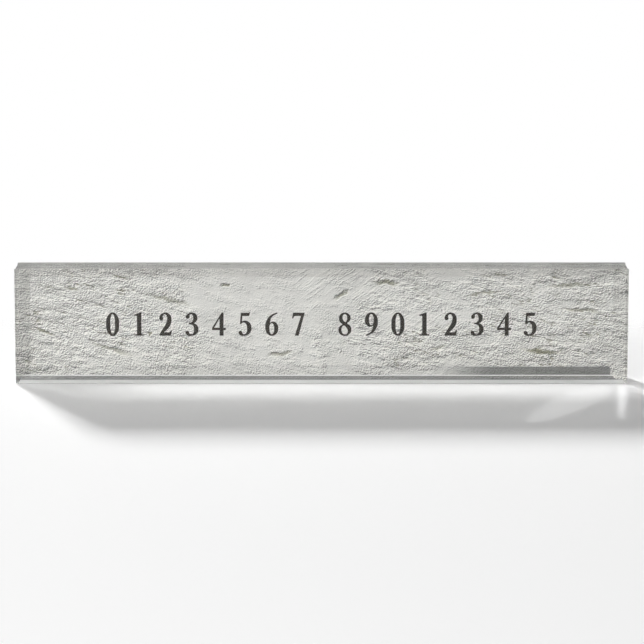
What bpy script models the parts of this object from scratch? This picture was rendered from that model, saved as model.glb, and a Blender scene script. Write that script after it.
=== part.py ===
"""A free-standing desk nameplate: a clear block with a print bonded to its back.

Run with: blender --background --python part.py
Units are metres, +Z is up, and the plate is read from -Y. The origin is at the
middle of the footprint, on the surface that the block stands on.
"""

import bpy
import bmesh
from math import atan2, radians, sin, tan
from mathutils import Matrix

# Clear block
BLOCK_LENGTH = 0.254
BLOCK_HEIGHT = 0.0484
BLOCK_DEPTH = 0.01905

# Wide bevels round the back of the block
BACK_BEVEL_WIDTH = 0.0053
BACK_BEVEL_DEPTH = 0.0030

# Rounded edges of the block: along its depth, round the front, and where the bevels meet the sides
DEPTH_ROUND = 0.0010
FRONT_ROUND = 0.0004
RIM_ROUND = 0.0002
ROUND_SEGMENTS = 3

# Laminate that follows the block's back, from the block outwards
FILM_THICKNESS = 0.0002
PRINT_THICKNESS = 0.0003
BACKING_THICKNESS = 0.0006

# Clearances: between the layers, and from their rims to the block's outline
LAYER_GAP = 0.0003
RIM_MARGIN = 0.0002

# Places that follow from the sizes above
BACK_BEVEL_ANGLE = atan2(BACK_BEVEL_DEPTH, BACK_BEVEL_WIDTH)
FILM_OFFSET = LAYER_GAP
PRINT_OFFSET = FILM_OFFSET + FILM_THICKNESS + LAYER_GAP
BACKING_OFFSET = PRINT_OFFSET + PRINT_THICKNESS + LAYER_GAP
TOTAL_DEPTH = BLOCK_DEPTH + BACKING_OFFSET + BACKING_THICKNESS
FRONT_Y = -TOTAL_DEPTH / 2
BACK_FLAT_Y = FRONT_Y + BLOCK_DEPTH
MIDDLE_Z = BLOCK_HEIGHT / 2


def clear_scene():
    """Remove whatever the file holds before the model is made."""
    for obj in list(bpy.data.objects):
        bpy.data.objects.remove(obj)


def make_collection(name):
    """Return a new collection linked to the scene."""
    collection = bpy.data.collections.new(name)
    bpy.context.scene.collection.children.link(collection)
    return collection


def make_material(name, color, roughness, metallic=0.0):
    """Return a Principled material."""
    material = bpy.data.materials.new(name)
    material.use_nodes = True
    shader = material.node_tree.nodes["Principled BSDF"]
    shader.inputs["Base Color"].default_value = (*color, 1.0)
    shader.inputs["Roughness"].default_value = roughness
    shader.inputs["Metallic"].default_value = metallic
    return material


def make_clear_material(name, color, roughness, ior):
    """Return a Principled material that light passes through."""
    material = make_material(name, color, roughness)
    shader = material.node_tree.nodes["Principled BSDF"]
    shader.inputs["Transmission Weight"].default_value = 1.0
    shader.inputs["IOR"].default_value = ior
    return material


def add_object(collection, name, shape, material):
    """Turn a finished bmesh into a named object of the part."""
    mesh = bpy.data.meshes.new(name)
    shape.to_mesh(mesh)
    shape.free()
    mesh.materials.append(material)
    obj = bpy.data.objects.new(name, mesh)
    collection.objects.link(obj)
    return obj


def push_out_centre(shape, face, inset, push):
    """Inset a face that looks along +Y and push its middle out, which leaves a bevel round it."""
    bmesh.ops.inset_region(shape, faces=[face], thickness=inset, use_boundary=True, use_even_offset=True)
    bmesh.ops.translate(shape, vec=(0.0, push, 0.0), verts=face.verts)


def weight_edges(shape):
    """Weight each edge of the block by how far it is rounded; the bevels' own edges stay sharp."""
    weight = shape.edges.layers.float.new("bevel_weight_edge")
    rim_y = BACK_FLAT_Y - BACK_BEVEL_DEPTH
    for edge in shape.edges:
        near, far = sorted(vert.co.y for vert in edge.verts)
        if far < rim_y - 1e-6:
            edge[weight] = FRONT_ROUND / DEPTH_ROUND
        elif near < rim_y - 1e-6:
            edge[weight] = 1.0
        elif far < rim_y + 1e-6:
            edge[weight] = RIM_ROUND / DEPTH_ROUND


def make_block(collection):
    """Add the clear block, with its back bevels and rounded edges."""
    straight_depth = BLOCK_DEPTH - BACK_BEVEL_DEPTH
    shape = bmesh.new()
    bmesh.ops.create_cube(shape, size=1.0)
    bmesh.ops.scale(shape, vec=(BLOCK_LENGTH, straight_depth, BLOCK_HEIGHT), verts=shape.verts)
    bmesh.ops.translate(shape, vec=(0.0, FRONT_Y + straight_depth / 2, MIDDLE_Z), verts=shape.verts)
    back = max(shape.faces, key=lambda face: face.calc_center_median().y)
    push_out_centre(shape, back, BACK_BEVEL_WIDTH, BACK_BEVEL_DEPTH)
    weight_edges(shape)
    acrylic = make_clear_material("clear_acrylic", (0.97, 0.98, 0.98), 0.02, 1.49)
    block = add_object(collection, "acrylic_block", shape, acrylic)
    rounding = block.modifiers.new("rounded_edges", "BEVEL")
    rounding.width = DEPTH_ROUND
    rounding.segments = ROUND_SEGMENTS
    rounding.limit_method = "WEIGHT"
    return block


def make_layer(collection, name, offset, thickness, material):
    """Add a layer that lies parallel to the block's back flat and bevels, an offset away from them."""
    flat_spread = offset * tan(BACK_BEVEL_ANGLE / 2)
    rim_inset = RIM_MARGIN + thickness * sin(BACK_BEVEL_ANGLE)
    bevel_run = BACK_BEVEL_WIDTH - flat_spread - rim_inset
    bevel_rise = bevel_run * tan(BACK_BEVEL_ANGLE)
    rim_length = BLOCK_LENGTH - 2 * rim_inset
    rim_height = BLOCK_HEIGHT - 2 * rim_inset
    shape = bmesh.new()
    bmesh.ops.create_grid(shape, x_segments=1, y_segments=1, size=0.5)
    bmesh.ops.scale(shape, vec=(rim_length, rim_height, 1.0), verts=shape.verts)
    bmesh.ops.rotate(shape, matrix=Matrix.Rotation(radians(-90), 3, "X"), verts=shape.verts)
    rim_y = BACK_FLAT_Y + offset - bevel_rise
    bmesh.ops.translate(shape, vec=(0.0, rim_y, MIDDLE_Z), verts=shape.verts)
    shape.faces.ensure_lookup_table()
    push_out_centre(shape, shape.faces[0], bevel_run, bevel_rise)
    layer = add_object(collection, name, shape, material)
    wall = layer.modifiers.new("thickness", "SOLIDIFY")
    wall.thickness = thickness
    wall.offset = 1.0
    wall.use_even_offset = True
    return layer


def build():
    """Make the whole nameplate."""
    clear_scene()
    nameplate = make_collection("desk_nameplate")
    make_block(nameplate)
    clear_film = make_clear_material("clear_film", (0.95, 0.96, 0.95), 0.15, 1.47)
    plaster_print = make_material("plaster_print", (0.54, 0.54, 0.51), 0.55)
    white_backing = make_material("white_backing", (0.62, 0.62, 0.61), 0.6)
    make_layer(nameplate, "adhesive_film", FILM_OFFSET, FILM_THICKNESS, clear_film)
    make_layer(nameplate, "printed_sheet", PRINT_OFFSET, PRINT_THICKNESS, plaster_print)
    make_layer(nameplate, "backing_sheet", BACKING_OFFSET, BACKING_THICKNESS, white_backing)


build()
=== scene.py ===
from math import cos, radians, sin

import bmesh
import bpy
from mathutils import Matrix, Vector


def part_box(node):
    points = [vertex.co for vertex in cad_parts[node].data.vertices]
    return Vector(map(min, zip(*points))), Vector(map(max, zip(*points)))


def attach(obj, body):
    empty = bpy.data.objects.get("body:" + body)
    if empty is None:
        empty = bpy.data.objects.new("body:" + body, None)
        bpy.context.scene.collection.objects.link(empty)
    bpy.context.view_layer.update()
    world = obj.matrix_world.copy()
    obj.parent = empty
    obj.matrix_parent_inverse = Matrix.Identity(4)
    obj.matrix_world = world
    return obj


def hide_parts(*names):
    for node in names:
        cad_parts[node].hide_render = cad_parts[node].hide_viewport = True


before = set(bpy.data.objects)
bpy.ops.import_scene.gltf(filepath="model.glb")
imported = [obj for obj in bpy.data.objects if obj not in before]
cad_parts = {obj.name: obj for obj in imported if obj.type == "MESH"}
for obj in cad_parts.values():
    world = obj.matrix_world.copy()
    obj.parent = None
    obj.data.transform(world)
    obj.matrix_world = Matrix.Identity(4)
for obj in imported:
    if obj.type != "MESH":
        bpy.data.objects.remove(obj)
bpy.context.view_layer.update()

blockLow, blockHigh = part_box("acrylic_block")
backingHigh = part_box("backing_sheet")[1]
blockLength = blockHigh.x - blockLow.x
blockHeight = blockHigh.z - blockLow.z
frontY = blockLow.y
backY = blockHigh.y        # the flat of the block's back
middleZ = (blockLow.z + blockHigh.z) / 2


# Small helpers for modelling

def deselectAll():
    for item in bpy.context.selected_objects:
        item.select_set(False)


def makeActive(item):
    deselectAll()
    item.select_set(True)
    bpy.context.view_layer.objects.active = item


def selectFaces(item, test):        # in edit mode: only the faces that pass the test
    bpy.ops.mesh.select_mode(type="FACE")
    bpy.ops.mesh.select_all(action="DESELECT")
    mesh = bmesh.from_edit_mesh(item.data)
    for face in mesh.faces:
        face.select_set(test(face))
    bmesh.update_edit_mesh(item.data)


def applyModifier(item, kind, **settings):
    makeActive(item)
    added = item.modifiers.new(kind.lower(), kind)
    for name, value in settings.items():
        setattr(added, name, value)
    bpy.ops.object.modifier_apply(modifier=added.name)


def addPlane(place, size, scale=(1, 1), turn=0):
    bpy.ops.mesh.primitive_plane_add(size=size, location=place, rotation=(radians(turn), 0, 0))
    plane = bpy.context.object
    plane.scale = (*scale, 1)
    bpy.ops.object.transform_apply(location=True, rotation=True, scale=True)
    return plane


def finishPiece(item, name, material, slot, *nodes):
    item.name = name
    item.data.name = name
    item.data.materials.clear()
    item.data.materials.append(material)
    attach(item, "root")
    if nodes:
        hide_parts(*nodes)
    return item


# Small helpers for materials

def addNode(tree, kind, **settings):
    made = tree.nodes.new(kind)
    for name, value in settings.items():
        setattr(made, name, value)
    return made


def feed(tree, socket, value):        # a link from another node, or a plain value
    if isinstance(value, bpy.types.NodeSocket):
        tree.links.new(value, socket)
    else:
        socket.default_value = value


def newMaterial(name, **values):
    material = bpy.data.materials.new(name)
    material.use_nodes = True
    shader = material.node_tree.nodes["Principled BSDF"]
    for socket, value in values.items():
        shader.inputs[socket.replace("_", " ")].default_value = value
    return material, material.node_tree, shader


def calc(tree, operation, first, second=0.0, third=None):
    made = addNode(tree, "ShaderNodeMath", operation=operation)
    feed(tree, made.inputs[0], first)
    feed(tree, made.inputs[1], second)
    if third is not None:
        feed(tree, made.inputs[2], third)
    return made.outputs[0]


def smoothStep(tree, value, low, high, atLow=0.0, atHigh=1.0):
    made = addNode(tree, "ShaderNodeMapRange", interpolation_type="SMOOTHSTEP")
    feed(tree, made.inputs["Value"], value)
    for name, number in zip(("From Min", "From Max", "To Min", "To Max"), (low, high, atLow, atHigh)):
        made.inputs[name].default_value = number
    return made.outputs["Result"]


def noise(tree, vector, scale, detail, rough, output="Fac", dimensions="3D"):        # scale: cells per mm
    made = addNode(tree, "ShaderNodeTexNoise", noise_dimensions=dimensions)
    feed(tree, made.inputs["Vector"], vector)
    made.inputs["Scale"].default_value = scale
    made.inputs["Detail"].default_value = detail
    made.inputs["Roughness"].default_value = rough
    return made.outputs[output]


def mixedColour(tree, share, first, second, blend="MIX"):
    made = addNode(tree, "ShaderNodeMix", data_type="RGBA", blend_type=blend)
    feed(tree, made.inputs[0], share)
    feed(tree, made.inputs[6], first)
    feed(tree, made.inputs[7], second)
    return made.outputs[2]


def splitAxes(tree, vector):
    made = addNode(tree, "ShaderNodeSeparateXYZ")
    feed(tree, made.inputs[0], vector)
    return made.outputs


def moved(tree, vector, offset):
    made = addNode(tree, "ShaderNodeVectorMath", operation="ADD")
    feed(tree, made.inputs[0], vector)
    feed(tree, made.inputs[1], offset)
    return made.outputs[0]


def scaled(tree, vector, scale):
    made = addNode(tree, "ShaderNodeVectorMath", operation="SCALE")
    feed(tree, made.inputs[0], vector)
    feed(tree, made.inputs["Scale"], scale)
    return made.outputs[0]


def objectPlace(tree, scale=1000.0):        # millimetres
    return scaled(tree, addNode(tree, "ShaderNodeTexCoord").outputs["Object"], scale)


def addBump(tree, shader, height, distance, strength):
    bump = addNode(tree, "ShaderNodeBump")
    bump.inputs["Strength"].default_value = strength
    bump.inputs["Distance"].default_value = distance
    feed(tree, bump.inputs["Height"], height)
    tree.links.new(bump.outputs["Normal"], shader.inputs["Normal"])


# The clear block: one cast slab with polished faces, wide bevels round its back and softened edges

blockSpec = {
    "bevelWidth": 0.0053,
    "bevelDepth": 0.0030,
    "depthRound": 0.0010,         # the four edges that run back from the front corners
    "frontRound": 0.0002,
    "rimRound": 0.00006,          # where the back bevels meet the sides
    "roundSegments": 6,
    "touching": 0.00001,          # corners this close to a plane lie on it
    "facesBack": 0.9,             # normals that tell the back and the underside
    "facesDown": -0.999,
    "bendingIndex": 1.49,
    "haze": (0.08, 3, 0.6),
    "polish": (0.45, 0.75, 0.0, 0.012),        # roughness, which rises where the haze does
    "tinge": (0.03, 2, 0.5),
    "tints": ((0.985, 0.995, 0.99, 1.0), (0.995, 1.0, 0.995, 1.0)),
    "underside": {        # left as it was sawn, with a painted shade strip along its rear
        "clearShare": 0.05,
        "paintedShadeStart": (2.4, 2.8),        # where a painted shade strip along the rear begins, in millimetres behind the middle
        # the sawn face's pale colour, then the dark grey of the painted shade
        "colours": ((0.98, 0.98, 0.98, 1.0), (0.42, 0.42, 0.415, 1.0)),
        "sawMarks": (0.8, 3, 0.6),
        "roughness": (0.3, 0.75, 0.35, 0.5),
    },
}
rimY = backY - blockSpec["bevelDepth"]


def clearAcrylic():
    spec = blockSpec
    material, tree, shader = newMaterial("clearAcrylic", IOR=spec["bendingIndex"], Transmission_Weight=1.0)
    place = objectPlace(tree)
    haze = noise(tree, place, *spec["haze"])
    feed(tree, shader.inputs["Roughness"], smoothStep(tree, haze, *spec["polish"]))
    tinge = noise(tree, place, *spec["tinge"])
    feed(tree, shader.inputs["Base Color"], mixedColour(tree, tinge, *spec["tints"]))
    return material


def sawnAcrylic():
    spec = blockSpec["underside"]
    material, tree, shader = newMaterial("sawnAcrylic", IOR=blockSpec["bendingIndex"],
                                         Transmission_Weight=spec["clearShare"])
    place = objectPlace(tree)
    # painted shade: the underside turns dark grey towards its rear edge
    paintedRearShade = smoothStep(tree, splitAxes(tree, place)[1], *spec["paintedShadeStart"])
    feed(tree, shader.inputs["Base Color"], mixedColour(tree, paintedRearShade, *spec["colours"]))
    marks = noise(tree, place, *spec["sawMarks"])
    feed(tree, shader.inputs["Roughness"], smoothStep(tree, marks, *spec["roughness"]))
    return material


def makeBlock():
    spec = blockSpec
    straight = rimY - frontY
    bpy.ops.mesh.primitive_cube_add(size=1, location=(0, frontY + straight / 2, middleZ))
    block = bpy.context.object
    block.scale = (blockLength, straight, blockHeight)
    bpy.ops.object.transform_apply(location=True, rotation=True, scale=True)
    bpy.ops.object.mode_set(mode="EDIT")
    selectFaces(block, lambda face: face.normal.y > spec["facesBack"])
    bpy.ops.mesh.inset(thickness=spec["bevelWidth"], use_even_offset=True)
    bpy.ops.transform.translate(value=(0, spec["bevelDepth"], 0))
    mesh = bmesh.from_edit_mesh(block.data)
    weight = mesh.edges.layers.float.new("bevel_weight_edge")
    for edge in mesh.edges:
        start, end = sorted(corner.co.y for corner in edge.verts)
        if end < frontY + spec["touching"]:
            edge[weight] = spec["frontRound"] / spec["depthRound"]
        elif start < frontY + spec["touching"]:
            edge[weight] = 1.0
        elif end < rimY + spec["touching"]:
            edge[weight] = spec["rimRound"] / spec["depthRound"]
    bmesh.update_edit_mesh(block.data)
    bpy.ops.object.mode_set(mode="OBJECT")
    bpy.ops.object.shade_smooth()
    applyModifier(block, "BEVEL", width=spec["depthRound"], segments=spec["roundSegments"],
                  limit_method="WEIGHT", harden_normals=True)
    finishPiece(block, "acrylicBlock", clearAcrylic(), "clear_acrylic", "acrylic_block")
    block.data.materials.append(sawnAcrylic())
    for face in block.data.polygons:
        if face.normal.z < spec["facesDown"]:
            face.material_index = 1


# The laminate behind the block: each layer follows the back flat and the bevels

def makeLayer(front, rear, margin):        # measured from the block's back and from its outline
    run = blockSpec["bevelWidth"] - margin
    rise = run * blockSpec["bevelDepth"] / blockSpec["bevelWidth"]
    outline = (blockLength - 2 * margin, blockHeight - 2 * margin)
    layer = addPlane((0, backY + front - rise, middleZ), 1, outline, -90)
    bpy.ops.object.mode_set(mode="EDIT")
    bpy.ops.mesh.select_all(action="SELECT")
    bpy.ops.mesh.inset(thickness=run, use_boundary=True, use_even_offset=True)
    bpy.ops.transform.translate(value=(0, rise, 0))
    bpy.ops.mesh.select_all(action="SELECT")
    bpy.ops.mesh.extrude_region_move(TRANSFORM_OT_translate={"value": (0, rear - front, 0)})
    bpy.ops.mesh.select_all(action="SELECT")
    bpy.ops.mesh.normals_make_consistent(inside=False)
    bpy.ops.object.mode_set(mode="OBJECT")
    return layer


filmSpec = {
    "layer": (-0.000045, -0.000033, 0.00003),
    "roughness": 0.35,
    "bendingIndex": 1.47,
    "bond": (0.35, 4, 0.6),
    "haze": (0.3, 0.75, 0.002, 0.008),        # how much of the film shows, which follows the bond
    "colours": ((0.80, 0.81, 0.80, 1.0), (0.90, 0.91, 0.89, 1.0)),
}


def clearFilm():
    spec = filmSpec
    material, tree, shader = newMaterial("clearFilm", Roughness=spec["roughness"], IOR=spec["bendingIndex"])
    bond = noise(tree, objectPlace(tree), *spec["bond"])
    feed(tree, shader.inputs["Alpha"], smoothStep(tree, bond, *spec["haze"]))
    feed(tree, shader.inputs["Base Color"], mixedColour(tree, bond, *spec["colours"]))
    return material


# The picture: pale trowelled plaster, drawn as a relief lit from above and printed flat

sheetSpec = {
    "layer": (-0.00002, 0.0003, 0.00003),        # all below is in millimetres
    "facesReader": -0.5,          # normals below this carry the picture
    "coreGrain": (0.6, 3, 0.6),
    "coreColours": ((0.66, 0.66, 0.64, 1.0), (0.76, 0.76, 0.74, 1.0)),
    "coreRoughness": 0.6,
    "roughness": 0.62,
    "shine": 0.35,
    "lightAngle": 127,
    "lightStep": 0.27,
    "middleTone": 0.55,
    "toneToRight": -0.03,
    "blotches": (0.06, 3, 0.6),
    "blotchContrast": 0.30,
    "tones": ((0.0, 0.17), (0.14, 0.31), (0.29, 0.52), (0.42, 0.645), (0.58, 0.70), (0.73, 0.78),
              (0.95, 0.93)),
    "tint": (1.0, 0.986, 0.940),
    "stain": (0.36, 0.35, 0.255, 1.0),
    "drift": (0.035, 3, 0.55),            # shifts the zones along the picture
    "driftReach": 90.0,
    "scratchedSlant": 1.6,
    "bend": (0.30, 2.0, 0.5, 1.2),        # a noise, and how far it shifts the pattern
    "markBends": ((0.25, 2.0, 0.5, 2.4), (1.1, 3.0, 0.5, 1.3)),
    "swell": (0.10, 3, 0.5),
    "swellHeight": 0.6,
    "scratchHeight": 0.16,
    "markHeight": -0.9,
    "markEdge": (0.30, 1.15),
    "marks": (        # x, z, half length, half width, angle, depth
        (-104, 38.0, 3.2, 1.0, -8, 0.8), (-88, 12.5, 10.0, 1.1, -17, 0.6), (-64, 33.5, 11.0, 1.2, -14, 0.65),
        (-40, 39.5, 2.3, 0.9, 10, 0.85), (-17, 10.5, 5.8, 1.1, 8, 0.7), (8, 35.5, 4.2, 1.0, 28, 0.8),
        (27, 40.5, 6.2, 1.3, -6, 0.85), (49, 13.0, 4.6, 0.8, 18, 0.6), (68, 36.0, 9.0, 0.8, 8, 0.75),
        (92, 11.5, 9.5, 1.5, -5, 1.0), (108, 29.0, 10.0, 0.9, -3, 0.7), (103, 39.5, 10.0, 1.0, 3, 0.7),
        (-116, 20.0, 5.0, 0.9, -20, 0.85), (78, 20.5, 1.6, 0.9, 0, 0.8), (-72, 19.0, 1.4, 0.8, 0, 0.9)),
    "patterns": {        # angle, cells per mm along it and across it, detail, roughness
        "leftGrain": (-20, 1.42, 1.78, 2, 0.75),
        "rightGrain": (3, 1.30, 1.85, 2, 0.75),
        "leftStreaks": (-18, 0.15, 0.42, 2, 0.6),
        "rightStreaks": (4, 0.09, 0.34, 3, 0.65),
        "clusters": (-16, 0.09, 0.20, 3, 0.6),        # where grain and streaks gather
        "scratches": (36, 0.06, 0.85, 2, 0.7),
        "tears": (-16, 0.035, 0.13, 4, 0.6),
        "chips": (-14, 0.16, 0.45, 4, 0.75),          # which parts of the tears show
        "patches": (12, 0.02, 0.05, 2, 0.5),          # where it is smooth besides the smooth zone
    },
    "steps": {        # from, to, and the values before and after where they aren't 0 and 1
        "toRight": (-15, 55),
        "smoothStart": (-72, -34),
        "smoothEnd": (2, 22, 1, 0),
        "patchEdge": (0.47, 0.62, 0, 0.75),
        "scratchedStart": (38, 62),
        "scratchedEnd": (84, 110, 1, 0),
        "calmEnds": (68, 108, 1, 0),                  # on both sides of the middle
        "calmRise": (12, 34, 0.35, 1),                # from the lower edge upwards
        "grainInClusters": (0.38, 0.66, 0.5, 1.3),
        "grainInSmooth": (0, 1, 2.90, 0.696),
        "grainToRight": (0, 1, 1, 0.90),
        "grainInCalm": (0, 1, 1.46, 0.84),
        "streaksInClusters": (0.40, 0.60, 0.35, 1.3),
        "streaksInSmooth": (0, 1, 1, 0.12),
        "streaksInCalm": (0, 1, 0.80, 0.24),
        "scratchEdge": (0.46, 0.66),
        "tearEdge": (0.006, 0.045, 1, 0),
        "chipEdge": (0.50, 0.60),
        "tearsInSmooth": (0, 0.6, 0.85, 0),
        "tearsInCalm": (0, 1, 1, 0.45),
        "contrastToRight": (0, 1, 2.9, 2.03),
        "toneAtEnds": (90, 120, 0, -0.11),
    },
    "border": {        # painted shade and painted highlights along the picture's lower edge and ends: bands from and to a height
        "low": (-1.0, 1.38),                # a strip of painted shade along the whole edge
        "line": (1.38, 1.76),               # a painted highlight line above it
        "bevel": (1.76, 5.0),               # a second strip of painted shade, which deepens towards the right as seen from the front
        "fold": (5.02, 5.42),               # a fine line of painted shade where the bevel meets the flat
        "softness": 0.06,
        "lowStart": (-124.0, -100.0),       # the low strip's painted shade deepens between these
        "lowShades": (0.64, 0.44),
        "highStart": (45.0, 72.0),
        "highEnd": (120.5, 121.0, 1, 0),
        "highShade": 0.40,
        "bevelShade": 0.91,                 # painted shade: the lower bevel is a little darker along its whole length
        "lineShade": 1.36,
        "foldStart": (-100, -60),
        "foldEnd": (112, 121.0, 1, 0),
        "foldShade": 0.82,
        "corner": (121.0, 123.0),           # painted light: beyond the strips the corner is brighter
        "cornerTop": (4.9, 5.3, 1, 0),
        "cornerSlant": 0.9,
        "cornerShade": 1.16,
        "sideStart": (121.6, 121.8),        # painted shade: the side bevels are a little darker
        "sideShade": 0.95,
        "plain": (0.64, 0.64, 0.6304, 1.0),        # strips and line are evened out towards this
        "plainShare": 0.50,
        "linePlainShare": 0.85,
    },
}


def turned(tree, vector, angle, along, across, place=(0, 0)):        # laid at an angle and stretched
    made = addNode(tree, "ShaderNodeMapping", vector_type="TEXTURE")
    feed(tree, made.inputs["Vector"], vector)
    made.inputs["Location"].default_value = (*place, 0)
    made.inputs["Rotation"].default_value = (0, 0, radians(angle))
    made.inputs["Scale"].default_value = (1 / along, 1 / across, 1)
    return made.outputs["Vector"]


def warped(tree, vector, scale, detail, rough, reach):
    lumps = noise(tree, vector, scale, detail, rough, "Color", "2D")
    made = addNode(tree, "ShaderNodeVectorMath", operation="MULTIPLY_ADD")
    feed(tree, made.inputs[0], moved(tree, lumps, (-0.5, -0.5, -0.5)))
    made.inputs[1].default_value = (reach, reach, 0)
    feed(tree, made.inputs[2], vector)
    return made.outputs[0]


def centred(tree, value):        # a noise swings about a half
    return calc(tree, "SUBTRACT", value, 0.5)


def blended(tree, share, first, second):
    made = addNode(tree, "ShaderNodeMix", data_type="FLOAT")
    feed(tree, made.inputs[0], share)
    feed(tree, made.inputs[2], first)
    feed(tree, made.inputs[3], second)
    return made.outputs[0]


def pattern(tree, vector, name):
    angle, along, across, detail, rough = sheetSpec["patterns"][name]
    return noise(tree, turned(tree, vector, angle, along, across), 1, detail, rough, dimensions="2D")


def step(tree, value, name):
    return smoothStep(tree, value, *sheetSpec["steps"][name])


def stepped(tree, value, *changes):        # a value times the named steps
    for where, name in changes:
        value = calc(tree, "MULTIPLY", value, step(tree, where, name))
    return value


def plasterZones(tree, plane, x, z):        # how far a place is to the right, smooth, scratched and calm
    spec = sheetSpec
    drift = centred(tree, noise(tree, plane, *spec["drift"], dimensions="2D"))
    wander = calc(tree, "MULTIPLY_ADD", drift, spec["driftReach"], x)
    lift = calc(tree, "MULTIPLY_ADD", z, spec["scratchedSlant"], wander)
    smooth = stepped(tree, step(tree, wander, "smoothStart"), (wander, "smoothEnd"))
    smooth = calc(tree, "MAXIMUM", smooth, step(tree, pattern(tree, plane, "patches"), "patchEdge"))
    scratched = stepped(tree, step(tree, lift, "scratchedStart"), (lift, "scratchedEnd"))
    calm = stepped(tree, step(tree, calc(tree, "ABSOLUTE", wander), "calmEnds"), (z, "calmRise"))
    return step(tree, wander, "toRight"), smooth, scratched, calm


def plasterMarks(tree, plane):        # pits, slits and dragged lines
    found = None
    for x, z, halfLength, halfWidth, angle, depth in sheetSpec["marks"]:
        size = addNode(tree, "ShaderNodeVectorMath", operation="LENGTH")
        feed(tree, size.inputs[0], turned(tree, plane, angle, 1 / halfLength, 1 / halfWidth, (x, z)))
        mark = smoothStep(tree, size.outputs["Value"], *sheetSpec["markEdge"], depth, 0)
        found = mark if found is None else calc(tree, "MAXIMUM", found, mark)
    return found


def plasterRelief(tree, plane, zones, shift):        # height of the plaster, and how deep the marks are
    toRight, smooth, scratched, calm = zones
    spec = sheetSpec
    spot = moved(tree, plane, shift)
    bent = warped(tree, spot, *spec["bend"])
    clusters = pattern(tree, bent, "clusters")
    grain = blended(tree, toRight, pattern(tree, spot, "leftGrain"), pattern(tree, spot, "rightGrain"))
    grain = stepped(tree, grain, (clusters, "grainInClusters"), (smooth, "grainInSmooth"),
                    (toRight, "grainToRight"), (calm, "grainInCalm"))
    streaks = blended(tree, toRight, pattern(tree, bent, "leftStreaks"), pattern(tree, bent, "rightStreaks"))
    streaks = stepped(tree, streaks, (clusters, "streaksInClusters"), (smooth, "streaksInSmooth"),
                      (calm, "streaksInCalm"))
    height = calc(tree, "ADD", grain, streaks)
    swell = noise(tree, spot, *spec["swell"], dimensions="2D")
    height = calc(tree, "MULTIPLY_ADD", swell, spec["swellHeight"], height)
    scratches = stepped(tree, scratched, (pattern(tree, bent, "scratches"), "scratchEdge"))
    height = calc(tree, "MULTIPLY_ADD", scratches, spec["scratchHeight"], height)
    fromTear = calc(tree, "ABSOLUTE", centred(tree, pattern(tree, bent, "tears")))
    torn = stepped(tree, step(tree, fromTear, "tearEdge"), (pattern(tree, spot, "chips"), "chipEdge"),
                   (smooth, "tearsInSmooth"), (calm, "tearsInCalm"))
    dented = spot
    for bend in spec["markBends"]:
        dented = warped(tree, dented, *bend)
    marks = calc(tree, "MAXIMUM", torn, plasterMarks(tree, dented))
    return calc(tree, "MULTIPLY_ADD", marks, spec["markHeight"], height), marks


def between(tree, value, low, high):        # 1 inside a band with soft sides
    soft = sheetSpec["border"]["softness"]
    rising = smoothStep(tree, value, low - soft, low + soft)
    return calc(tree, "MULTIPLY", rising, smoothStep(tree, value, high - soft, high + soft, 1, 0))


def limited(tree, band, *limits):
    for where, limit in limits:
        band = calc(tree, "MULTIPLY", band, smoothStep(tree, where, *limit))
    return band


def paintedEdgeShading(tree, x, z):        # painted shade and painted highlights that the picture is multiplied by, and how far it is evened out
    spec = sheetSpec["border"]
    corner = spec["corner"]
    slant = calc(tree, "SUBTRACT", corner[1], calc(tree, "MULTIPLY", z, spec["cornerSlant"]))
    # painted shade: the low strip, the bevel strip, the fold line and the whole lower bevel
    inLow = calc(tree, "MULTIPLY", between(tree, z, *spec["low"]), calc(tree, "LESS_THAN", x, slant))
    onBevel = between(tree, z, *spec["bevel"])
    inHigh = limited(tree, onBevel, (x, spec["highStart"]), (x, spec["highEnd"]))
    # painted highlight: a bright line above the low strip
    inLine = limited(tree, between(tree, z, *spec["line"]), (x, (*corner, 1, 0)))
    # painted light: the lower corner beyond the strips is brightened
    inCorner = limited(tree, smoothStep(tree, x, *corner), (z, spec["cornerTop"]))
    onFold = limited(tree, between(tree, z, *spec["fold"]), (x, spec["foldStart"]), (x, spec["foldEnd"]))
    deepening = smoothStep(tree, x, *spec["lowStart"], *(shade - 1 for shade in spec["lowShades"]))
    # painted shade on the side bevels
    shade = smoothStep(tree, calc(tree, "ABSOLUTE", x), *spec["sideStart"], 1, spec["sideShade"])
    paintedCornerLight = spec["cornerShade"] - spec["sideShade"]
    for band, change in ((inLow, deepening), (onFold, spec["foldShade"] - 1),
                         (onBevel, spec["bevelShade"] - 1), (inCorner, paintedCornerLight),
                         (inHigh, spec["highShade"] - 1), (inLine, spec["lineShade"] - 1)):
        shade = calc(tree, "MULTIPLY_ADD", band, change, shade)
    evened = calc(tree, "MULTIPLY", calc(tree, "ADD", inLow, inHigh), spec["plainShare"])
    evenedLine = calc(tree, "MULTIPLY", inLine, spec["linePlainShare"])
    return shade, calc(tree, "MAXIMUM", evened, evenedLine)


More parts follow.
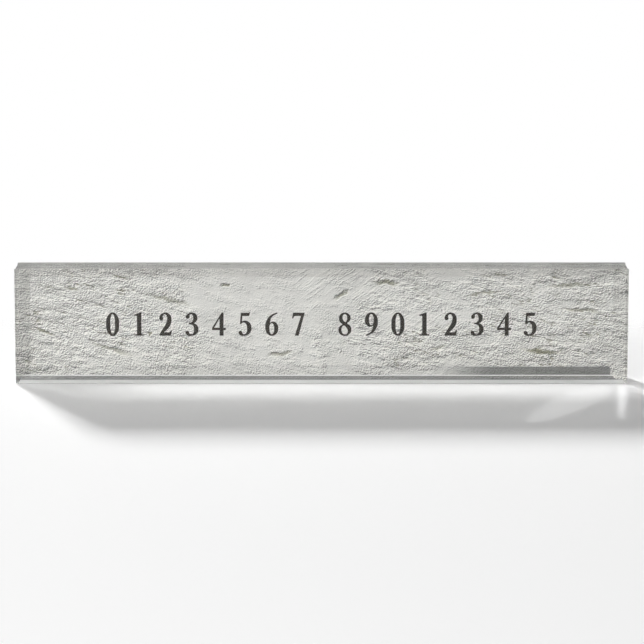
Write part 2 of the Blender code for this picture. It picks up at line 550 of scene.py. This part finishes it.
def plasterPrint():
    spec = sheetSpec
    material, tree, shader = newMaterial("plasterPrint", Roughness=spec["roughness"],
                                         Specular_IOR_Level=spec["shine"])
    x, _, z = splitAxes(tree, objectPlace(tree))
    flat = addNode(tree, "ShaderNodeCombineXYZ")
    feed(tree, flat.inputs[0], x)
    feed(tree, flat.inputs[1], z)
    plane = flat.outputs[0]
    zones = plasterZones(tree, plane, x, z)
    toRight = zones[0]
    angle, reach = radians(spec["lightAngle"]), spec["lightStep"]
    here, marks = plasterRelief(tree, plane, zones, (0, 0, 0))
    towardsLight, _ = plasterRelief(tree, plane, zones, (reach * cos(angle), reach * sin(angle), 0))
    slope = calc(tree, "SUBTRACT", here, towardsLight)
    tone = calc(tree, "MULTIPLY_ADD", slope, step(tree, toRight, "contrastToRight"), spec["middleTone"])
    blotches = centred(tree, noise(tree, plane, *spec["blotches"], dimensions="2D"))
    tone = calc(tree, "MULTIPLY_ADD", blotches, spec["blotchContrast"], tone)
    tone = calc(tree, "MULTIPLY_ADD", toRight, spec["toneToRight"], tone)
    tone = calc(tree, "ADD", tone, step(tree, calc(tree, "ABSOLUTE", x), "toneAtEnds"))
    colours = addNode(tree, "ShaderNodeValToRGB")
    feed(tree, colours.inputs[0], tone)
    tones = colours.color_ramp.elements
    while len(tones) < len(spec["tones"]):
        tones.new(0.5)
    for element, (position, level) in zip(tones, spec["tones"]):
        element.position = position
        element.color = (*(level * share for share in spec["tint"]), 1)
    stained = mixedColour(tree, marks, colours.outputs[0], spec["stain"], "MULTIPLY")
    # the picture is multiplied by painted shade and painted highlights along its lower edge and ends
    shade, evened = paintedEdgeShading(tree, x, z)
    bordered = scaled(tree, mixedColour(tree, evened, stained, spec["border"]["plain"]), shade)
    feed(tree, shader.inputs["Base Color"], bordered)
    return material


def sheetCore():        # the sheet's cut edges and its back, which carry no picture
    spec = sheetSpec
    material, tree, shader = newMaterial("sheetCore", Roughness=spec["coreRoughness"])
    grain = noise(tree, objectPlace(tree), *spec["coreGrain"])
    feed(tree, shader.inputs["Base Color"], mixedColour(tree, grain, *spec["coreColours"]))
    return material


# The white backing, which takes its rear from the solid

backingSpec = {
    "layer": (0.00030, backingHigh.y - backY, 0.00006),
    "round": 0.00025,
    "roundSegments": 3,
    "roundedFrom": 40,        # degrees between two faces
    "smoothUpTo": 35,
    "broad": (0.05, 3, 0.6),
    "fine": (3.5, 3, 0.6),
    "fineShare": 0.3,
    "colours": ((0.60, 0.60, 0.59, 1.0), (0.70, 0.70, 0.685, 1.0)),
    "roughness": (0.3, 0.7, 0.42, 0.56),
    "bump": (0.00006, 0.6),
}


def whiteBacking():
    spec = backingSpec
    material, tree, shader = newMaterial("whiteBacking")
    place = objectPlace(tree)
    broad = noise(tree, place, *spec["broad"])
    fine = noise(tree, place, *spec["fine"])
    both = calc(tree, "MULTIPLY", broad, 1 - spec["fineShare"])
    both = calc(tree, "MULTIPLY_ADD", fine, spec["fineShare"], both)
    feed(tree, shader.inputs["Base Color"], mixedColour(tree, both, *spec["colours"]))
    feed(tree, shader.inputs["Roughness"], smoothStep(tree, broad, *spec["roughness"]))
    addBump(tree, shader, fine, *spec["bump"])
    return material


def makeLaminate():
    film = makeLayer(*filmSpec["layer"])
    finishPiece(film, "adhesiveFilm", clearFilm(), "clear_film", "adhesive_film")
    sheet = makeLayer(*sheetSpec["layer"])
    finishPiece(sheet, "plasterSheet", plasterPrint(), "plaster_print", "printed_sheet")
    sheet.data.materials.append(sheetCore())
    for face in sheet.data.polygons:
        if face.normal.y > sheetSpec["facesReader"]:
            face.material_index = 1
    backing = makeLayer(*backingSpec["layer"])
    applyModifier(backing, "BEVEL", width=backingSpec["round"], segments=backingSpec["roundSegments"],
                  limit_method="ANGLE", angle_limit=radians(backingSpec["roundedFrom"]))
    bpy.ops.object.shade_smooth_by_angle(angle=radians(backingSpec["smoothUpTo"]))
    return finishPiece(backing, "backingSheet", whiteBacking(), "white_backing", "backing_sheet")


# Plain numerals in dark ink, where such a plate is lettered

numeralSpec = {
    "groups": ("01234567", "89012345"),
    "height": 0.0095,
    "pitch": 0.01108,          # from one numeral to the next
    "groupGap": 0.0084,        # extra room between the groups
    "cell": (52, 100),         # width and height of the outlines below
    "widening": 1.14,
    "boldness": 0.00012,       # added round every stroke
    "curveSteps": 6,
    "middleZ": 0.0230,
    "inkStart": 0.00003,       # ahead of the picture
    "inkThickness": 0.000006,
    "joining": 0.0000001,
    "wear": (2.2, 4, 0.65),
    "colours": ((0.0165, 0.0098, 0.0055, 1.0), (0.0225, 0.0150, 0.0098, 1.0)),
    "roughness": (0.3, 0.7, 0.5, 0.7),
    "shine": 0.05,
}
# Closed outlines in the cell's own units: (x, z) is smooth, (x, z, 1) is a corner
numeralShapes = {
    "0": (((26, 101), (44, 86), (50, 50), (44, 14), (26, -1), (8, 14), (2, 50), (8, 86)),
          ((26, 96), (33.5, 82), (36, 50), (33.5, 18), (26, 4), (18.5, 18), (16, 50), (18.5, 82))),
    "1": (((8, 0, 1), (44, 0, 1), (44, 3.2, 1), (36, 4.6), (33.5, 10, 1), (33.5, 101, 1), (30, 101, 1),
           (8, 91, 1), (8, 87.5, 1), (15, 89), (18.5, 85, 1), (18.5, 10, 1), (16, 4.6), (8, 3.2, 1)),),
    "2": (((3, 0, 1), (45, 0, 1), (49, 21, 1), (46, 21, 1), (41, 14), (34, 12.5, 1), (16, 12.5, 1),
           (30, 26), (42, 44), (47.5, 71), (41.5, 92), (26, 101), (9.5, 94), (2.5, 78), (5, 70), (11, 69),
           (15.5, 74.5), (13.5, 83), (16, 92), (24, 95.5), (31, 88), (32.5, 70), (27, 50), (15, 28),
           (3, 5, 1)),),
    "3": (((2.5, 82), (10, 95), (25, 101), (40, 94), (45, 77), (40, 62), (31, 54, 1), (43, 46), (49, 28),
           (43, 9), (22, -1), (6, 3), (1, 13), (6, 19), (12, 16.5), (14, 9), (21, 4), (30, 9), (34, 27),
           (30, 44), (20, 50.5), (14, 51, 1), (14, 55, 1), (21, 56.5), (29, 64), (31, 78), (28, 91),
           (22, 95.5), (15, 91), (15.5, 84), (13, 77.5), (6.5, 75.5)),),
    "4": (((30, 0, 1), (43.5, 0, 1), (43.5, 25, 1), (52, 25, 1), (52, 33, 1), (43.5, 33, 1), (43.5, 101, 1),
           (38.5, 101, 1), (1, 33, 1), (1, 25, 1), (30, 25, 1)),
          ((30, 33, 1), (30, 79, 1), (6.5, 33, 1))),
    "5": (((10, 100, 1), (41, 100, 1), (44, 103, 1), (40, 87.5, 1), (14, 87.5, 1), (12.5, 61, 1), (25, 65),
           (42, 56), (49, 33), (41, 9), (20, -1), (6, 3), (1, 13), (6, 19), (12, 16.5), (14, 9), (21, 4),
           (31, 11), (34, 32), (30, 51), (20, 58.5), (11, 54), (8, 51, 1), (6.5, 52.5, 1)),),
    "6": (((46, 101, 1), (24, 90), (7, 66), (2, 34), (10, 8), (26, -1), (43, 8), (50, 30), (44, 53),
           (31, 60.5), (20, 56), (17, 53, 1), (20.5, 70), (29, 86), (47, 98, 1)),
          ((27, 55.5), (34, 47), (36, 30), (34, 12), (26.5, 4), (19, 11), (16, 32), (17.5, 46))),
    "7": (((7, 100, 1), (3, 77, 1), (6, 77, 1), (9.5, 85), (16, 88, 1), (38, 88, 1), (14, 0, 1),
           (26.5, 0, 1), (49, 97, 1), (49, 100, 1)),),
    "8": (((26, 101), (42, 93), (47, 77), (42, 63), (34, 54.5), (45, 43), (50, 26), (43, 7), (25, -1),
           (8, 7), (2, 24), (7, 40), (17, 49.5), (8, 60), (4.5, 76), (10, 93)),
          ((26, 96.5), (33.5, 90), (36, 78), (33.5, 65), (28.5, 58.5), (19, 67), (16, 79), (18.5, 91)),
          ((22, 45), (13.5, 36), (12, 24), (16, 9), (26, 3.5), (35.5, 8), (38.5, 19), (33.5, 34))),
}
cellWidth, cellHeight = numeralSpec["cell"]
numeralShapes["9"] = tuple(tuple((cellWidth - point[0], cellHeight - point[1], *point[2:]) for point in loop)
                           for loop in numeralShapes["6"])        # a six turned over


def numeralOutline(curve, loop, left, base, width, size):
    spline = curve.splines.new("BEZIER")
    spline.bezier_points.add(len(loop) - 1)
    spline.use_cyclic_u = True
    for knot, point in zip(spline.bezier_points, loop):
        knot.co = (left + point[0] * width, base + point[1] * size, 0)
        kind = "VECTOR" if len(point) > 2 else "AUTO"
        knot.handle_left_type = kind
        knot.handle_right_type = kind


def darkInk():
    spec = numeralSpec
    material, tree, shader = newMaterial("darkInk", Specular_IOR_Level=spec["shine"])
    wear = noise(tree, objectPlace(tree), *spec["wear"])
    feed(tree, shader.inputs["Base Color"], mixedColour(tree, wear, *spec["colours"]))
    feed(tree, shader.inputs["Roughness"], smoothStep(tree, wear, *spec["roughness"]))
    return material


def makeNumerals():
    spec = numeralSpec
    size = spec["height"] / spec["cell"][1]
    width = size * spec["widening"]
    count = sum(len(group) for group in spec["groups"])
    gaps = (len(spec["groups"]) - 1) * spec["groupGap"]
    left = -((count - 1) * spec["pitch"] + gaps + spec["cell"][0] * width) / 2
    made = []
    for group in spec["groups"]:
        for numeral in group:
            curve = bpy.data.curves.new("numeral", "CURVE")
            curve.dimensions = "2D"
            curve.fill_mode = "BOTH"
            curve.resolution_u = spec["curveSteps"]
            curve.extrude = spec["inkThickness"] / 2
            curve.offset = spec["boldness"]
            for loop in numeralShapes[numeral]:
                numeralOutline(curve, loop, left, -spec["height"] / 2, width, size)
            made.append(bpy.data.objects.new("numeral", curve))
            bpy.context.scene.collection.objects.link(made[-1])
            left += spec["pitch"]
        left += spec["groupGap"]
    makeActive(made[0])
    for item in made:
        item.select_set(True)
    bpy.ops.object.convert(target="MESH")
    bpy.ops.object.join()
    numerals = bpy.context.object
    numerals.location = (0, backY - spec["inkStart"], spec["middleZ"])
    numerals.rotation_euler = (radians(90), 0, 0)
    bpy.ops.object.transform_apply(location=True, rotation=True, scale=True)
    applyModifier(numerals, "WELD", merge_threshold=spec["joining"])
    finishPiece(numerals, "numerals", darkInk(), "dark_ink")


# Studio: a plain pale floor, white surroundings, a low lamp behind for the shadow, and softer ones in front

studioSpec = {
    "floorSize": 12,
    "floorDrop": 0.0002,
    "floorGrain": (0.004, 2, 0.5),
    "floorColours": ((0.94, 0.94, 0.94, 1.0), (0.96, 0.96, 0.96, 1.0)),
    "floorRoughness": 0.55,
    "floorGlow": 0.05,
    "floorReach": (0.06, 0.17, 1, 0),        # behind the block, where it fades into the white surroundings
    "white": (1.0, 1.0, 1.0, 1.0),
    "ambient": 0.185,
    "backLamp": {"place": (-1.45, 3.45, 1.53), "size": (0.58, 0.58), "power": 280.0},
    "shareOnBacking": 0.42,        # of the back lamp, so that the pale backing isn't burnt out
    "lamps": {
        "frontLamp": {"place": (-0.50, -1.55, 0.20), "size": (1.3, 0.36), "power": 20.5},
        "sideLamp": {"place": (-2.2, -0.35, 0.75), "size": (0.6, 0.6), "power": 14.0},
        "footLamp": {"place": (0.022, -0.0200, 0.16), "size": (0.216, 0.006), "power": 0.0096,
                     "spread": 23.0},
    },
    "fan": (        # streaks that the clear end throws on the floor: x, y, width, length, turn and power
        (0.1216, -0.047, 0.0020, 0.082, -5.5, 0.00024),
        (0.1243, -0.024, 0.0010, 0.024, -4.0, 0.00003),
        (0.1005, -0.052, 0.0170, 0.092, -24.0, 0.00056),
        (0.1310, -0.025, 0.0030, 0.030, 17.0, 0.00008)),
    "fanHeight": 0.035,
    "fanSpread": 10.0,
    "narrowSpread": 90.0,          # a lamp up to this shines straight down, and a wider one at the block
}
flagSpec = {        # a card that only the top face mirrors
    "place": (0.0, 0.9, 0.85),
    "size": (3.0, 1.6),
    "grain": (0.003, 2, 0.5),
    "glow": (0.3, 0.7, 0.21, 0.23),
    "colour": (1.0, 1.0, 0.99, 1.0),
    "hiddenFrom": ("camera", "diffuse", "transmission", "volume_scatter", "shadow"),
}
cameraSpec = {
    "distance": 1.40,
    "elevation": 9.3,
    "aimAboveMiddle": 0.0018,
    "aimRight": 0.00018,
    "imageWidth": 644,
    "blockWidthInImage": 613.4,
    "sensor": 36.0,
}


def seenRays(tree):        # 1 for what the camera, a reflection or clear acrylic shows
    rays = addNode(tree, "ShaderNodeLightPath")
    seen = calc(tree, "MAXIMUM", rays.outputs["Is Camera Ray"], rays.outputs["Is Glossy Ray"])
    return calc(tree, "MAXIMUM", seen, rays.outputs["Is Transmission Ray"])


def makeFloor():
    spec = studioSpec
    floor = addPlane((0, 0, -spec["floorDrop"]), spec["floorSize"])
    floor.name = "floor"
    material, tree, shader = newMaterial("paleFloor", Roughness=spec["floorRoughness"],
                                         Emission_Color=spec["white"])
    grain = noise(tree, objectPlace(tree), *spec["floorGrain"], dimensions="2D")
    feed(tree, shader.inputs["Base Color"], mixedColour(tree, grain, *spec["floorColours"]))
    glow = calc(tree, "MULTIPLY", seenRays(tree), spec["floorGlow"])
    feed(tree, shader.inputs["Emission Strength"], glow)
    depth = splitAxes(tree, objectPlace(tree, 1.0))[1]
    feed(tree, shader.inputs["Alpha"], smoothStep(tree, depth, *spec["floorReach"]))
    floor.data.materials.append(material)


def makeFlag():
    spec = flagSpec
    flag = addPlane(spec["place"], 1, spec["size"], 90)
    flag.name = "flag"
    material, tree, shader = newMaterial("greyCard", Base_Color=(0.0, 0.0, 0.0, 1.0), Specular_IOR_Level=0.0,
                                         Emission_Color=spec["colour"])
    tones = noise(tree, objectPlace(tree), *spec["grain"])
    feed(tree, shader.inputs["Emission Strength"], smoothStep(tree, tones, *spec["glow"]))
    flag.data.materials.append(material)
    for ray in spec["hiddenFrom"]:
        setattr(flag, "visible_" + ray, False)


def makeWorld():
    world = bpy.data.worlds.new("studio")
    bpy.context.scene.world = world
    world.use_nodes = True
    tree = world.node_tree
    plain = tree.nodes["Background"]
    white = addNode(tree, "ShaderNodeBackground")
    for background, strength in ((plain, studioSpec["ambient"]), (white, 1.0)):
        background.inputs["Color"].default_value = studioSpec["white"]
        background.inputs["Strength"].default_value = strength
    chosen = addNode(tree, "ShaderNodeMixShader")
    for socket, source in zip(chosen.inputs, (seenRays(tree), plain.outputs[0], white.outputs[0])):
        tree.links.new(source, socket)
    tree.links.new(chosen.outputs[0], tree.nodes["World Output"].inputs["Surface"])


def makeLamp(name, place, size, power, spread=180.0):
    bpy.ops.object.light_add(type="AREA", location=place)
    lamp = bpy.context.object
    lamp.name = name
    lamp.data.shape = "RECTANGLE"
    lamp.data.size, lamp.data.size_y = size
    lamp.data.energy = power
    lamp.data.spread = radians(spread)
    if spread > studioSpec["narrowSpread"]:
        aim = Vector((0, 0, middleZ)) - Vector(place)
        lamp.rotation_euler = aim.to_track_quat("-Z", "Y").to_euler()
    lamp.visible_camera = False
    lamp.visible_glossy = False
    return lamp


def makeBackLamps(backing):        # two at one place, of which the second doesn't light the backing
    spec = studioSpec["backLamp"]
    share = studioSpec["shareOnBacking"]
    makeLamp("backLamp", spec["place"], spec["size"], spec["power"] * share)
    rest = makeLamp("backLampRest", spec["place"], spec["size"], spec["power"] * (1 - share))
    spared = bpy.data.collections.new("sparedByRest")
    spared.objects.link(backing)
    spared.collection_objects[0].light_linking.link_state = "EXCLUDE"
    rest.light_linking.receiver_collection = spared


def makeFan():
    spec = studioSpec
    for x, y, width, length, turn, power in spec["fan"]:
        streak = makeLamp("fanLamp", (x, y, spec["fanHeight"]), (width, length), power, spec["fanSpread"])
        streak.data.shape = "ELLIPSE"
        streak.rotation_euler = (0, 0, radians(turn))
        streak.visible_transmission = False


def makeCamera():
    spec = cameraSpec
    rise = radians(spec["elevation"])
    aim = Vector((spec["aimRight"], frontY, middleZ + spec["aimAboveMiddle"]))
    place = aim + spec["distance"] * Vector((0, -cos(rise), sin(rise)))
    bpy.ops.object.camera_add(location=place, rotation=(aim - place).to_track_quat("-Z", "Y").to_euler())
    camera = bpy.context.object
    viewWidth = blockLength * spec["imageWidth"] / spec["blockWidthInImage"]
    camera.data.sensor_width = spec["sensor"]
    camera.data.lens = spec["sensor"] * spec["distance"] / viewWidth
    bpy.context.scene.camera = camera


deselectAll()
makeBlock()
print("block made")
backing = makeLaminate()
print("laminate made")
makeNumerals()
print("numerals made")
makeFloor()
makeWorld()
makeBackLamps(backing)
for name, settings in studioSpec["lamps"].items():
    makeLamp(name, **settings)
makeFan()
makeFlag()
makeCamera()
bpy.context.scene.view_settings.view_transform = "Standard"
print("studio made")
